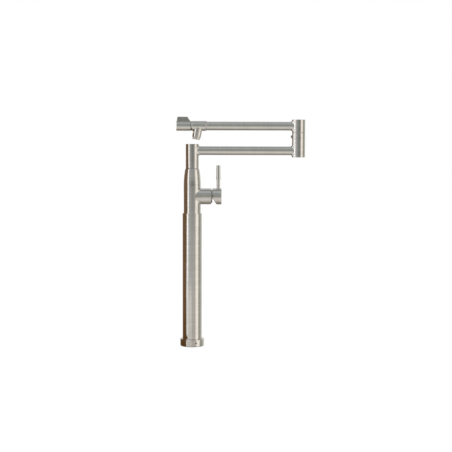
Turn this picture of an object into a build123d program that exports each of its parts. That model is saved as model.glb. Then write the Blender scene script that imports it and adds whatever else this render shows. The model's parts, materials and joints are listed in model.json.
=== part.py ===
from build123d import *
from math import asin, cos, radians, sin, sqrt
import os

# A deck-mounted pillar mixer tap with a folding spout, in millimetres, +Z up.
# The origin is the centre of the base on the worktop. +X points along the folded arms to the elbow,
# and the side lever is on the +X side of the column. The front of the tap faces -Y.

# Worktop, base and clamp
worktop_thickness = 30.0
gasket_thickness = 1.2
gasket_inset = 1.0
base_diameter = 60.8
base_height = 18.0
base_floor = 3.3
base_chamfer = 0.6
shank_diameter = 33.0
shank_bore = 28.0
shank_drop = 60.0
shank_head = 22.0
clamp_washer_diameter = 54.0
rubber_washer_thickness = 3.0
steel_washer_thickness = 2.0
nut_across_flats = 46.0
nut_height = 9.0

# Pillar and the screw that locks it in the base
pillar_diameter = 49.2
pillar_wall = 1.8
pillar_height = 337.0
pillar_rim_round = 0.6
base_screw_diameter = 5.0
base_screw_length = 6.6
base_screw_height = 9.8
base_screw_turn = 20.0
base_screw_bite = 0.6

# Supply tubes and their threaded inlets
tube_diameter = 10.0
tube_wall = 1.0
tube_spacing = 14.0
socket_diameter = 12.6
socket_length = 22.0
socket_drop = 3.0
socket_grip = 8.0
inlet_bore = 9.0
inlet_depth = 12.0
tube_seat_depth = 12.0

# Mixer body
body_diameter = 43.3
body_height = 112.0
body_spigot = 24.0
body_seal_height = 9.0
body_seal_depth = 2.0
shoulder_length = 44.0
shoulder_diameter = 36.6
shoulder_round = 3.5
body_top_diameter = 33.4
waterway_diameter = 6.0
chamber_diameter = 14.0
chamber_start = 22.0

# Side valve on the mixer body
valve_rise = 42.5
valve_diameter = 40.5
valve_reach = 47.2
valve_fillet = 2.6
valve_rim_round = 0.5
valve_seat = 8.0
port_diameter = 5.6
inlet_port_rise = 4.5
outlet_port_drop = 7.0
outlet_riser_back = 12.0

# Cartridge
cartridge_diameter = 34.8
cartridge_base_thickness = 5.0
port_seal_width = 1.3
port_seal_depth = 1.4
disc_thickness = 3.5
moving_disc_diameter = 26.0
disc_offset = 1.9
disc_recess = 2.0
disc_rim = 2.0
carrier_thickness = 7.0
carrier_width = 15.8
carrier_length = 18.0
ball_flare = 1.0
ball_flare_depth = 2.0
cavity_diameter = 31.0
turret_flange_diameter = 28.0
turret_flange = 3.8
turret_rail = 2.8
turret_rail_length = 18.0
cartridge_top_wall = 1.8
cartridge_neck_diameter = 26.0
cartridge_neck = 6.0
turret_diameter = 20.0
nut_collar_diameter = 34.0
nut_collar_stand = 3.2
nut_thread_wall = 0.95

# Lever stem, hood and lever
stem_width = 7.0
pivot_offset = 1.7
pivot_pin_diameter = 4.0
pivot_pin_recess = 0.8
pivot_barrel_diameter = 9.6
ball_arm = 9.0
ball_arm_diameter = 3.4
ball_diameter = 6.0
lever_tilt = 25.0
hood_diameter = 40.8
hood_gap = 3.8
hood_length = 22.7
hood_wall = 2.2
hood_recess = 6.2
hood_round = 0.8
relief_drop = 5.0
relief_angle = 34.0
stem_grip = 13.0
lever_position = 14.5
lever_neck_diameter = 8.8
lever_neck_length = 22.5
lever_grip_diameter = 11.0
lever_tip_diameter = 9.8
lever_grip_length = 36.0
lever_grip_round = 1.0
lever_stud_diameter = 6.0
lever_stud_length = 9.0
hood_screw_diameter = 5.0
hood_screw_length = 8.0

# Hubs, arms and swivel joints
hub_diameter = 33.0
hub_height = 61.5
short_hub_height = 32.5
hub_round = 0.5
hub_cap_diameter = 28.0
hub_cap_thickness = 2.5
arm_diameter = 22.0
arm_wall = 1.5
arm_inset = 16.5
arm_port_diameter = 14.0
arm_fillet = 4.6
elbow_reach = 267.0
thrust_washer_thickness = 0.5
thrust_washer_inset = 0.5
spindle_diameter = 20.0
spindle_thread_diameter = 18.0
spindle_thread = 20.0
elbow_thread = 8.0
spindle_bore = 12.0
spindle_waist_diameter = 15.0
spindle_waist = 14.0
elbow_spindle_drop = 34.5
seal_width = 2.4
seal_groove_floor = 16.6
slide_ring_width = 3.0
slide_ring_floor = 17.6
first_slide_ring = 3.0
last_slide_ring = 1.0
first_seal = 9.0
seal_pitch = 8.0
retaining_groove_width = 4.0
retaining_groove_place = 24.0
elbow_groove_place = 10.0
elbow_first_slide_ring = 2.5
elbow_first_seal = 18.0
retaining_screw_diameter = 5.0
retaining_tip_diameter = 3.6
retaining_head_diameter = 7.0
retaining_head_height = 3.0
retaining_screw_recess = 0.7

# Spout valve housing and nozzle
housing_diameter = 25.0
housing_length = 38.6
housing_taper = 1.2
housing_taper_length = 2.6
housing_reach = 231.1
arm_socket_depth = 6.9
seat_wall = 5.0
seat_bore = 12.0
valve_bore = 18.1
nozzle_position = 18.1
nozzle_tilt = 10.0
nozzle_top_diameter = 23.6
nozzle_tip_diameter = 21.7
nozzle_length = 29.2
nozzle_bore = 15.0
nozzle_round = 0.6
aerator_thread_diameter = 18.0
aerator_seat_depth = 8.6
aerator_ring_diameter = 19.4
aerator_ring_height = 5.3
aerator_wall = 1.2
aerator_lip = 0.8
aerator_insert_length = 9.0
aerator_seal_thickness = 1.5
aerator_hole_diameter = 3.0
aerator_hole_circle = 9.0

# Quarter-turn shut-off
bush_recess = 0.4
bush_thread_length = 11.0
bush_waist_diameter = 16.0
bush_collar = 1.5
bush_cup_diameter = 13.6
seat_seal_thickness = 3.0
shutoff_disc_thickness = 2.8
shutoff_port_radius = 5.2
shutoff_web = 1.6
shutoff_turn = 90.0
window_width = 7.0
window_length = 5.6
shutoff_spindle_diameter = 8.0
spindle_flange = 1.0
drive_bar_width = 4.4
drive_bar_thickness = 2.4
drive_tang = 0.9
spindle_seal_place = 5.0
spindle_seal_width = 2.0
spindle_seal_floor = 5.8
clip_thickness = 0.8
clip_diameter = 12.0
clip_floor = 6.4
clip_gap = 5.0

# Spout knob
knob_diameter = 24.5
knob_length = 37.0
knob_gap = 0.5
knob_round = 1.6
knob_end_chamfer = 0.6
knob_recess_diameter = 16.0
knob_recess = 4.0
knob_bore_depth = 21.0
fin_thickness = 8.0
fin_height = 22.8
fin_setback = 1.2
fin_lean = 1.2
fin_corner_radius = 1.8
fin_sweep = 8.3
fin_sweep_radius = 30.0
fin_root = 1.5
fin_edge_round = 0.6
knob_screw_diameter = 4.0
knob_screw_length = 6.0
knob_screw_place = 12.0
drive_flat = 0.8

# Clearances
push_fit = 0.05
running_fit = 0.05
pin_fit = 0.03
side_play = 0.2
shank_clearance = 1.0
seat_relief = 0.3

# Screws: the socket's width and depth and the point's chamfer, as shares of the screw's own size
socket_size = 0.5
socket_depth = 0.5
screw_point = 0.15

# Heights of the column
floor_top = gasket_thickness + base_floor
valve_height = pillar_height + valve_rise
body_top = pillar_height + body_height
hub_foot = body_top + thrust_washer_thickness
hub_top = hub_foot + hub_height
lower_arm_height = hub_top - arm_inset
elbow_foot = lower_arm_height - arm_inset
elbow_top = elbow_foot + hub_height
upper_hub_foot = elbow_top + thrust_washer_thickness
upper_hub_top = upper_hub_foot + short_hub_height
upper_arm_height = upper_hub_foot + short_hub_height / 2
inlet_foot = -shank_drop - socket_drop - socket_length

# Places along the side valve's axis, from the column's axis
cartridge_base_top = valve_seat + cartridge_base_thickness
fixed_disc_top = cartridge_base_top + disc_thickness
moving_disc_top = fixed_disc_top + disc_thickness
carrier_top = moving_disc_top + carrier_thickness
turret_foot = carrier_top + side_play
turret_flange_top = turret_foot + turret_flange
cavity_top = turret_flange_top + side_play
cartridge_shoulder = cavity_top + cartridge_top_wall
cartridge_end = cartridge_shoulder + cartridge_neck
pivot_place = turret_flange_top + pivot_offset
ball_place = pivot_place - ball_arm
nut_end = valve_reach + nut_collar_stand
hood_start = valve_reach + hood_gap
hood_end = hood_start + hood_length
hood_floor = hood_start + hood_recess
stem_end = hood_floor + stem_grip
lever_place = hood_start + lever_position
disc_travel = ball_arm * sin(radians(lever_tilt))

# Places along the spout valve's axis, from the column's axis, and the height where the knob's fin starts
housing_end = elbow_reach - housing_reach
housing_start = housing_end - housing_length
arm_end = housing_end - arm_socket_depth
seat_ledge = arm_end - seat_wall
nozzle_place = housing_start + nozzle_position
bush_start = housing_start + bush_recess
bush_end = seat_ledge - seat_seal_thickness
shutoff_disc_face = bush_end - shutoff_disc_thickness
moving_disc_face = shutoff_disc_face - shutoff_disc_thickness
drive_bar_start = moving_disc_face - drive_bar_thickness
journal_end = bush_start + bush_thread_length
knob_end = housing_start - knob_gap
knob_start = knob_end - knob_length
fin_foot = upper_arm_height + knob_diameter / 2 - fin_root

stand = (Align.CENTER, Align.CENTER, Align.MIN)
same_size = 0.01


def rod(diameter, low, high):
    """An upright cylinder on the Z axis."""
    return Pos(0, 0, low) * Cylinder(diameter / 2, high - low, align=stand)


def ring(outer, inner, low, high):
    """An upright ring on the Z axis."""
    return rod(outer, low, high) - rod(inner, low, high)


def rod_x(diameter, start, end, height, side=0.0):
    """A cylinder along X, on an axis at this height."""
    return Pos(start, side, height) * Rot(0, 90, 0) * Cylinder(diameter / 2, end - start, align=stand)


def ring_x(outer, inner, start, end, height, side=0.0):
    """A ring along X."""
    return rod_x(outer, start, end, height, side) - rod_x(inner, start, end, height, side)


def block(x_range, y_range, z_range):
    """A box between two values on each axis."""
    lows = [min(pair) for pair in (x_range, y_range, z_range)]
    highs = [max(pair) for pair in (x_range, y_range, z_range)]
    sides = [high - low for low, high in zip(lows, highs)]
    return Pos(*lows) * Box(*sides, align=(Align.MIN, Align.MIN, Align.MIN))


def edges_at(shape, height, diameter):
    """The round edges of a turned piece at one height and diameter."""
    circles = shape.edges().filter_by(GeomType.CIRCLE)
    level = circles.filter_by_position(Axis.Z, height - same_size, height + same_size)
    return level.filter_by(lambda edge: abs(edge.radius - diameter / 2) < same_size)


def grub_screw(diameter, length):
    """A socket set screw on the Z axis with its tip at the origin and its socket at the top."""
    body = rod(diameter, 0, length)
    body = chamfer(edges_at(body, 0, diameter), diameter * screw_point)
    return body - Pos(0, 0, length) * hexagon_socket(diameter, length)


def hexagon_socket(diameter, length):
    """The cut for a hexagon key, from the origin down, for a head or screw of this diameter and length."""
    depth = length * socket_depth
    return Pos(0, 0, -depth) * extrude(RegularPolygon(socket_size * diameter / 2, 6), depth)


# Base, clamp and pillar


def deck_gasket():
    return ring(base_diameter - 2 * gasket_inset, shank_diameter + 2 * shank_clearance, 0, gasket_thickness)


def base_screw_place():
    """The base screw's own frame: its tip in the shank's head and its axis pointing out of the base."""
    tip = pillar_diameter / 2 - pillar_wall - base_screw_bite
    turned = Rot(0, 0, base_screw_turn) * Pos(0, -tip, base_screw_height)
    return turned * Rot(90, 0, 0)


def base_screw_hole():
    return base_screw_place() * rod(base_screw_diameter + 2 * push_fit, 0, base_diameter / 2)


def base_ring():
    body = ring(base_diameter, shank_diameter + 2 * shank_clearance, gasket_thickness, base_height)
    body -= rod(pillar_diameter + 2 * push_fit, floor_top, base_height)
    rims = edges_at(body, base_height, base_diameter)
    rims += edges_at(body, base_height, pillar_diameter + 2 * push_fit)
    return chamfer(rims, base_chamfer) - base_screw_hole()


def base_set_screw():
    return base_screw_place() * grub_screw(base_screw_diameter, base_screw_length)


def pillar_tube():
    bore = pillar_diameter - 2 * pillar_wall
    body = ring(pillar_diameter, bore, floor_top, pillar_height)
    body = fillet(edges_at(body, pillar_height, pillar_diameter), pillar_rim_round)
    return body - base_screw_hole()


def mounting_shank():
    """A hollow threaded stud whose head fills the foot of the pillar."""
    head = rod(pillar_diameter - 2 * pillar_wall - 2 * push_fit, floor_top, floor_top + shank_head)
    stud = rod(shank_diameter, -shank_drop, floor_top)
    return head + stud - rod(shank_bore, -shank_drop, floor_top + shank_head) - base_screw_hole()


def clamp_ring(top, thickness):
    bore = shank_diameter + 2 * seat_relief
    return ring(clamp_washer_diameter, bore, top - thickness, top)


def clamp_washer_rubber():
    return clamp_ring(-worktop_thickness, rubber_washer_thickness)


def clamp_washer_steel():
    return clamp_ring(-worktop_thickness - rubber_washer_thickness, steel_washer_thickness)


def mounting_nut():
    top = -worktop_thickness - rubber_washer_thickness - steel_washer_thickness
    hexagon = extrude(RegularPolygon(nut_across_flats / 2, 6, major_radius=False), nut_height)
    return Pos(0, 0, top - nut_height) * hexagon - rod(shank_diameter + 2 * push_fit, top - nut_height, top)


# Supply tubes


def supply_tube(side):
    """One rigid tube from its inlet socket up to the mixer body. side is -1 for cold and 1 for hot."""
    low = inlet_foot + socket_length - socket_grip
    high = pillar_height - body_spigot + tube_seat_depth
    return Pos(0, side * tube_spacing / 2, 0) * ring(tube_diameter, tube_diameter - 2 * tube_wall, low, high)


def inlet_socket(side):
    """A socket brazed on the tube's lower end, with a female thread at its mouth."""
    top = inlet_foot + socket_length
    body = rod(socket_diameter, inlet_foot, top)
    body -= rod(inlet_bore, inlet_foot, inlet_foot + inlet_depth)
    body -= rod(tube_diameter - 2 * tube_wall, inlet_foot, top)
    body -= rod(tube_diameter + 2 * push_fit, top - socket_grip, top)
    return Pos(0, side * tube_spacing / 2, 0) * body


def inlet_sockets():
    return Compound([inlet_socket(side) for side in (-1, 1)])


# Mixer body


def shoulder_outline():
    """Half section above the pillar: a long arc that leaves the side upright, then a round edge."""
    side = body_diameter / 2
    shoulder = shoulder_diameter / 2
    start = body_top - shoulder_length
    bend = body_top - shoulder_round
    rise, fall = bend - start, side - shoulder
    radius = (rise**2 + fall**2) / (2 * fall)
    half_angle = asin(rise / radius) / 2
    middle = (side - radius + radius * cos(half_angle), start + radius * sin(half_angle))
    top = (body_top_diameter / 2, body_top)
    outline = Line((0, pillar_height), (side, pillar_height))
    outline += Line((side, pillar_height), (side, start))
    outline += ThreePointArc((side, start), middle, (shoulder, bend))
    outline += RadiusArc((shoulder, bend), top, -shoulder_round)
    outline += Line(top, (0, body_top))
    outline += Line((0, body_top), (0, pillar_height))
    return Plane.XZ * make_face(outline)


def body_seal_groove():
    """Where the seal between the body's spigot and the pillar sits: lower and upper height."""
    low = pillar_height - body_seal_height
    return low - seal_width, low


def end_rim(shape, place):
    """The round edge at one end of a piece turned on X: place 0 is its start and -1 its end."""
    return shape.edges().filter_by(GeomType.CIRCLE).sort_by(Axis.X)[place]


def mixer_shell():
    """The outer form: a shouldered column and the side valve's housing, their weld dressed to a fillet."""
    housing = rod_x(valve_diameter, 0, valve_reach, valve_height)
    housing = fillet(end_rim(housing, -1), valve_rim_round)
    return joined(revolve(shoulder_outline(), Axis.Z), [housing], valve_fillet)


def mixer_body():
    spigot_foot = pillar_height - body_spigot
    spigot = rod(pillar_diameter - 2 * pillar_wall - 2 * push_fit, spigot_foot, pillar_height)
    body = spigot + mixer_shell()
    # Cartridge bore with a wider threaded mouth
    body -= rod_x(cartridge_diameter + 2 * push_fit, valve_seat, valve_reach, valve_height)
    body -= rod_x(nut_thread_diameter() + 2 * push_fit, cartridge_shoulder, valve_reach, valve_height)
    # Hot and cold ways up from the tubes and out to the cartridge
    inlet_height = valve_height + inlet_port_rise
    for side in (-1, 1):
        place = Pos(0, side * tube_spacing / 2, 0)
        body -= place * rod(tube_diameter + 2 * push_fit, spigot_foot, spigot_foot + tube_seat_depth)
        body -= place * rod(waterway_diameter, spigot_foot, inlet_height)
        body -= rod_x(port_diameter, 0, valve_seat, inlet_height, side * tube_spacing / 2)
    # Mixed water goes back past the inlets, up a riser and into the chamber under the spindle
    outlet_height = valve_height - outlet_port_drop
    chamber_foot = valve_height + chamber_start
    body -= rod_x(port_diameter, -outlet_riser_back, valve_seat, outlet_height)
    riser = rod(waterway_diameter, outlet_height, chamber_foot)
    body -= Pos(-outlet_riser_back, 0, 0) * riser
    body -= rod_x(waterway_diameter, -outlet_riser_back, 0, chamber_foot)
    body -= rod(chamber_diameter, chamber_foot - waterway_diameter / 2, body_top - spindle_thread)
    body -= rod(spindle_thread_diameter + 2 * push_fit, body_top - spindle_thread, body_top)
    low, high = body_seal_groove()
    return body - ring(pillar_diameter, body_seal_bore(), low, high)


def body_seal_bore():
    return pillar_diameter - 2 * pillar_wall - 2 * body_seal_depth


def body_seal():
    low, high = body_seal_groove()
    return ring(pillar_diameter - 2 * pillar_wall - 2 * push_fit, body_seal_bore(), low, high)


# Cartridge


def nut_thread_diameter():
    return cartridge_diameter + 2 * nut_thread_wall


def port_centres():
    """Side and height of the cartridge's two inlets and its outlet."""
    inlets = [(side * tube_spacing / 2, valve_height + inlet_port_rise) for side in (-1, 1)]
    return inlets + [(0, valve_height - outlet_port_drop)]


def ports(start, end, diameter):
    return [rod_x(diameter, start, end, height, side) for side, height in port_centres()]


def cartridge_base():
    body = rod_x(cartridge_diameter, valve_seat, cartridge_base_top, valve_height)
    for hole in ports(valve_seat, cartridge_base_top, port_diameter):
        body -= hole
    for groove in ports(valve_seat, valve_seat + port_seal_depth, port_diameter + 2 * port_seal_width):
        body -= groove
    return body


def cartridge_base_seals():
    outer = port_diameter + 2 * port_seal_width - 2 * push_fit
    end = valve_seat + port_seal_depth
    centres = port_centres()
    return Compound([ring_x(outer, port_diameter, valve_seat, end, height, side) for side, height in centres])


def cartridge_fixed_disc():
    disc = rod_x(cavity_diameter - 2 * push_fit, cartridge_base_top, fixed_disc_top, valve_height)
    for hole in ports(cartridge_base_top, fixed_disc_top, port_diameter):
        disc -= hole
    return disc


def cartridge_moving_disc():
    """The sliding disc, shut at rest. Its blind recess joins outlet and inlets once it has moved up."""
    centre = valve_height - disc_offset
    disc = rod_x(moving_disc_diameter, fixed_disc_top, moving_disc_top, centre)
    reach = fixed_disc_top + disc_recess
    top = valve_height + inlet_port_rise - port_diameter / 2 - disc_rim / 2
    foot = centre - moving_disc_diameter / 2 + disc_rim
    half_channel = port_diameter / 2 + side_play
    half_bar = sqrt((moving_disc_diameter / 2 - disc_rim) ** 2 - (top - centre) ** 2)
    disc -= block((fixed_disc_top, reach), (-half_channel, half_channel), (foot, top))
    disc -= block((fixed_disc_top, reach), (-half_bar, half_bar), (top - port_diameter / 2, top))
    return disc


def disc_carrier():
    """The block that the lever's ball pushes along the guide rails, with the disc on its face."""
    centre = valve_height - disc_offset
    half_length, half_width = carrier_length / 2, carrier_width / 2
    z_range = (centre - half_length, centre + half_length)
    body = block((moving_disc_top, carrier_top), (-half_width, half_width), z_range)
    pocket = ball_diameter + 2 * side_play
    body -= rod_x(pocket, ball_place - ball_diameter / 2 - side_play, carrier_top, valve_height)
    flare = Cone(pocket / 2, pocket / 2 + ball_flare, ball_flare_depth, align=stand)
    return body - Pos(carrier_top - ball_flare_depth, 0, valve_height) * Rot(0, 90, 0) * flare


def cartridge_housing():
    body = rod_x(cartridge_diameter, cartridge_base_top, cartridge_shoulder, valve_height)
    body += rod_x(cartridge_neck_diameter, cartridge_shoulder, cartridge_end, valve_height)
    body -= rod_x(cavity_diameter, cartridge_base_top, cavity_top, valve_height)
    return body - rod_x(turret_diameter + 2 * running_fit, cavity_top, cartridge_end, valve_height)


def cartridge_turret():
    """The part that turns for temperature: two guide rails, a flange and a neck slotted for the stem."""
    body = rod_x(turret_flange_diameter, turret_foot, turret_flange_top, valve_height)
    body += rod_x(turret_diameter, turret_flange_top, cartridge_end, valve_height)
    inner = carrier_width / 2 + side_play
    z_range = (valve_height - turret_rail_length / 2, valve_height + turret_rail_length / 2)
    for side in (-1, 1):
        y_range = (side * inner, side * (inner + turret_rail))
        body += block((moving_disc_top + side_play, turret_foot), y_range, z_range)
    body -= block((turret_foot, cartridge_end), stem_slot_sides(), stem_slot_heights())
    return body - pivot_rod(pivot_pin_diameter + 2 * pin_fit, turret_diameter)


def stem_slot_sides():
    half = stem_width / 2 + side_play
    return (-half, half)


def stem_slot_heights():
    """The slot's foot clears the stem at full tilt, and its top clears the stem's ball arm."""
    tilt = radians(lever_tilt)
    reach = cartridge_end - pivot_place
    foot = reach * sin(tilt) / cos(tilt) + stem_width / 2 / cos(tilt) + side_play
    return (valve_height - foot, valve_height + pivot_barrel_diameter / 2 + side_play)


def pivot_rod(diameter, length):
    """A cylinder along Y on the lever's pivot."""
    centred = Rot(90, 0, 0) * Cylinder(diameter / 2, length)
    return Pos(pivot_place, 0, valve_height) * centred


def lever_pin():
    return pivot_rod(pivot_pin_diameter, turret_diameter - 2 * pivot_pin_recess)


def cartridge_nut():
    """The ring nut that holds the cartridge down, with the collar that shows beside the hood."""
    thread_end = valve_reach - seat_relief
    body = rod_x(nut_thread_diameter(), cartridge_shoulder, thread_end, valve_height)
    body += rod_x(nut_collar_diameter, thread_end, nut_end, valve_height)
    return body - rod_x(cartridge_neck_diameter + 2 * push_fit, cartridge_shoulder, nut_end, valve_height)


# Lever


def lever_stem():
    """A square stem on a pivot barrel, with a ball on the inner arm."""
    half = stem_width / 2
    body = block((pivot_place, stem_end), (-half, half), (valve_height - half, valve_height + half))
    body += pivot_rod(pivot_barrel_diameter, stem_width)
    body += rod_x(ball_arm_diameter, ball_place, pivot_place, valve_height)
    body += Pos(ball_place, 0, valve_height) * Sphere(ball_diameter / 2)
    return body - pivot_rod(pivot_pin_diameter + 2 * pin_fit, stem_width)


def relief_cutter():
    """Everything under the slanting cut that lets the hood tip towards the valve."""
    size = 2 * hood_diameter
    corner = Pos(hood_start, 0, valve_height - relief_drop) * Rot(0, -relief_angle, 0)
    return corner * block((-size, 0), (-size, size), (-size, size))


def lever_seat_height():
    """Height of the flat on the hood that the lever's neck stands on."""
    return valve_height + sqrt((hood_diameter / 2) ** 2 - (lever_neck_diameter / 2) ** 2) - seat_relief


def handle_hood():
    body = rod_x(hood_diameter, hood_start, hood_end, valve_height)
    body = fillet([end_rim(body, 0), end_rim(body, -1)], hood_round)
    body -= rod_x(hood_diameter - 2 * hood_wall, hood_start, hood_floor, valve_height)
    lower_half = block((valve_reach, hood_end), (-hood_diameter, hood_diameter), (0, valve_height))
    body -= relief_cutter() & lower_half
    half = stem_width / 2 + push_fit
    body -= block((hood_floor, stem_end), (-half, half), (valve_height - half, valve_height + half))
    seat = lever_seat_height()
    body -= Pos(lever_place, 0, 0) * rod(lever_neck_diameter + 2 * push_fit, seat, seat + hood_diameter)
    body -= Pos(lever_place, 0, 0) * rod(lever_stud_diameter + 2 * push_fit, seat - lever_stud_length, seat)
    return body - Pos(lever_place, 0, 0) * rod(hood_screw_diameter + 2 * push_fit, 0, valve_height)


def handle_lever():
    """A slim rod lever: a stud in the hood, a thinner neck and a tapering grip with rounded ends."""
    seat = lever_seat_height()
    neck_top = seat + lever_neck_length
    grip = Cone(lever_grip_diameter / 2, lever_tip_diameter / 2, lever_grip_length, align=stand)
    grip = Pos(0, 0, neck_top) * grip
    grip = fillet(grip.edges().filter_by(GeomType.CIRCLE), lever_grip_round)
    neck = rod(lever_neck_diameter, seat, neck_top)
    stud = rod(lever_stud_diameter, seat - lever_stud_length, seat)
    return Pos(lever_place, 0, 0) * (grip + neck + stud)


def handle_set_screw():
    """The screw that locks the hood on the stem, under the hood."""
    place = Pos(lever_place, 0, valve_height - stem_width / 2) * Rot(180, 0, 0)
    return place * grub_screw(hood_screw_diameter, hood_screw_length)


# Swivel joints


def seal_set(places, floor):
    """Rings on a spindle, each given by its lower and upper height."""
    outer = spindle_diameter
    return Compound([ring(outer, floor, low, high) for low, high in places])


def hub_seal_places():
    lows = [hub_foot + first_seal, hub_foot + first_seal + seal_pitch]
    return [(low, low + seal_width) for low in lows]


def hub_slide_ring_places():
    low = hub_foot + first_slide_ring
    high = spindle_top() - last_slide_ring
    return [(low, low + slide_ring_width), (high - slide_ring_width, high)]


def elbow_seal_places():
    highs = [upper_hub_foot - elbow_first_seal, upper_hub_foot - elbow_first_seal - seal_pitch]
    return [(high - seal_width, high) for high in highs]


def elbow_slide_ring_places():
    high = elbow_top - elbow_first_slide_ring
    low = upper_hub_foot - elbow_spindle_drop + elbow_first_slide_ring
    return [(high - slide_ring_width, high), (low, low + slide_ring_width)]


def spindle_top():
    return hub_top - hub_cap_thickness - seat_relief


def grooved(body, seals, slide_rings, groove):
    """Cuts the seal grooves, the slide ring grooves and the retaining groove into a spindle."""
    for low, high in seals:
        body -= ring(spindle_diameter, seal_groove_floor, low, high)
    for low, high in slide_rings:
        body -= ring(spindle_diameter, slide_ring_floor, low, high)
    low, high = groove - retaining_groove_width / 2, groove + retaining_groove_width / 2
    return body - ring(spindle_diameter, seal_groove_floor, low, high)


def swivel_spindle():
    """The column's spindle: screwed into the body, with a waist and cross holes at the lower arm."""
    body = rod(spindle_thread_diameter, body_top - spindle_thread, body_top)
    body += rod(spindle_diameter, body_top, spindle_top())
    waist_foot = lower_arm_height - spindle_waist / 2
    body -= ring(spindle_diameter, spindle_waist_diameter, waist_foot, waist_foot + spindle_waist)
    body -= rod(spindle_bore, body_top - spindle_thread, lower_arm_height + spindle_bore / 2)
    cross = rod_x(waterway_diameter, -spindle_diameter / 2, spindle_diameter / 2, lower_arm_height)
    body -= cross
    body -= Rot(0, 0, 90) * cross
    return grooved(body, hub_seal_places(), hub_slide_ring_places(), hub_foot + retaining_groove_place)


def elbow_spindle():
    """The elbow's spindle: screwed up into the upper hub and open at its foot."""
    foot = upper_hub_foot - elbow_spindle_drop
    body = rod(spindle_diameter, foot, upper_hub_foot)
    body += rod(spindle_thread_diameter, upper_hub_foot, upper_hub_foot + elbow_thread)
    body -= rod(spindle_bore, foot, upper_hub_foot + elbow_thread)
    groove = elbow_top - elbow_groove_place
    return Pos(elbow_reach, 0, 0) * grooved(body, elbow_seal_places(), elbow_slide_ring_places(), groove)


def thrust_washer(foot):
    outer = hub_diameter - 2 * thrust_washer_inset
    return ring(outer, spindle_diameter + 2 * push_fit, foot, foot + thrust_washer_thickness)


def retaining_screw_line():
    """How deep a retaining screw's tip reaches, from the spindle's axis."""
    return seal_groove_floor / 2 + seat_relief


def hub_retaining_screw():
    """A flush set screw at the back of the column hub whose tip runs in the spindle's groove."""
    outer = hub_diameter / 2 - retaining_screw_recess
    tip = retaining_screw_line()
    start = (spindle_diameter / 2) + running_fit + seat_relief
    body = Pos(0, 0, start - tip) * grub_screw(retaining_screw_diameter, outer - start)
    body += rod(retaining_tip_diameter, 0, start - tip)
    height = hub_foot + retaining_groove_place
    return Pos(0, tip, height) * Rot(-90, 0, 0) * body


def elbow_retaining_screw():
    """The same kind of screw with a round socket head, on the column's side of the elbow."""
    tip = retaining_screw_line()
    start = (spindle_diameter / 2) + running_fit + seat_relief
    seat = hub_diameter / 2 - seat_relief
    top = seat - tip + retaining_head_height + seat_relief
    body = rod(retaining_tip_diameter, 0, start - tip)
    body += rod(retaining_screw_diameter, start - tip, seat - tip)
    body += rod(retaining_head_diameter, seat - tip, top)
    body -= Pos(0, 0, top) * hexagon_socket(retaining_head_diameter, retaining_head_height)
    height = elbow_top - elbow_groove_place
    return Pos(elbow_reach - tip, 0, height) * Rot(0, -90, 0) * body


# Arms


def hub(foot, top, reach):
    """A plain hub with rounded rims."""
    body = rod(hub_diameter, foot, top)
    return Pos(reach, 0, 0) * fillet(body.edges().filter_by(GeomType.CIRCLE), hub_round)


def joined(first, others, radius):
    """Round pieces that cross each other as one, with the welds dressed to fillets."""
    body = first
    for piece in others:
        body += piece
    seams = [edge for edge in body.edges() if edge.geom_type not in (GeomType.CIRCLE, GeomType.LINE)]
    return fillet(seams, radius)


def hub_hollow(foot, top, diameter=spindle_diameter + 2 * running_fit):
    return rod(diameter, foot, top)


def lower_arm():
    """Column hub, arm tube and elbow hub, welded in one Z-shaped piece and hollow throughout."""
    arm = rod_x(arm_diameter, 0, elbow_reach, lower_arm_height)
    hubs = [hub(hub_foot, hub_top, 0), hub(elbow_foot, elbow_top, elbow_reach)]
    body = joined(arm, hubs, arm_fillet)
    # The way for the water
    wall = hub_diameter / 2
    body -= rod_x(arm_port_diameter, 0, elbow_reach, lower_arm_height)
    body -= rod_x(arm_diameter - 2 * arm_wall, wall, elbow_reach - wall, lower_arm_height)
    body -= hub_hollow(hub_foot, hub_top)
    body -= rod(hub_cap_diameter + 2 * push_fit, hub_top - hub_cap_thickness, hub_top)
    elbow = hub_hollow(elbow_foot, elbow_top)
    elbow += rod(hub_cap_diameter + 2 * push_fit, elbow_foot, elbow_foot + hub_cap_thickness)
    body -= Pos(elbow_reach, 0, 0) * elbow
    # Threaded holes for the two retaining screws
    hole = retaining_screw_diameter + 2 * push_fit
    back = Rot(-90, 0, 0) * rod(hole, 0, hub_diameter)
    body -= Pos(0, 0, hub_foot + retaining_groove_place) * back
    screw_height = elbow_top - elbow_groove_place
    body -= rod_x(hole, elbow_reach - hub_diameter, elbow_reach, screw_height)
    seat = elbow_reach - hub_diameter / 2 + seat_relief
    return body - rod_x(retaining_head_diameter + 2 * push_fit, seat - hub_diameter / 2, seat, screw_height)


def upper_arm():
    """Short elbow hub and arm tube, which ends in the spout valve's housing."""
    arm = rod_x(arm_diameter, arm_end, elbow_reach, upper_arm_height)
    body = joined(arm, [hub(upper_hub_foot, upper_hub_top, elbow_reach)], arm_fillet)
    wall = hub_diameter / 2
    body -= rod_x(arm_diameter - 2 * arm_wall, arm_end, elbow_reach - wall, upper_arm_height)
    body -= rod_x(arm_port_diameter, arm_end, elbow_reach, upper_arm_height)
    inside = rod(spindle_thread_diameter + 2 * push_fit, upper_hub_foot, upper_hub_top)
    inside += rod(spindle_diameter, upper_hub_foot + elbow_thread, upper_hub_top)
    inside += rod(hub_cap_diameter + 2 * push_fit, upper_hub_top - hub_cap_thickness, upper_hub_top)
    return body - Pos(elbow_reach, 0, 0) * inside


def hub_cap(low, reach):
    return Pos(reach, 0, 0) * rod(hub_cap_diameter, low, low + hub_cap_thickness)


# Spout valve housing and nozzle


def nozzle_frame():
    """The nozzle's own frame: its origin on the valve's axis and its outlet down the local -Z."""
    return Pos(nozzle_place, 0, upper_arm_height) * Rot(0, nozzle_tilt, 0)


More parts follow.
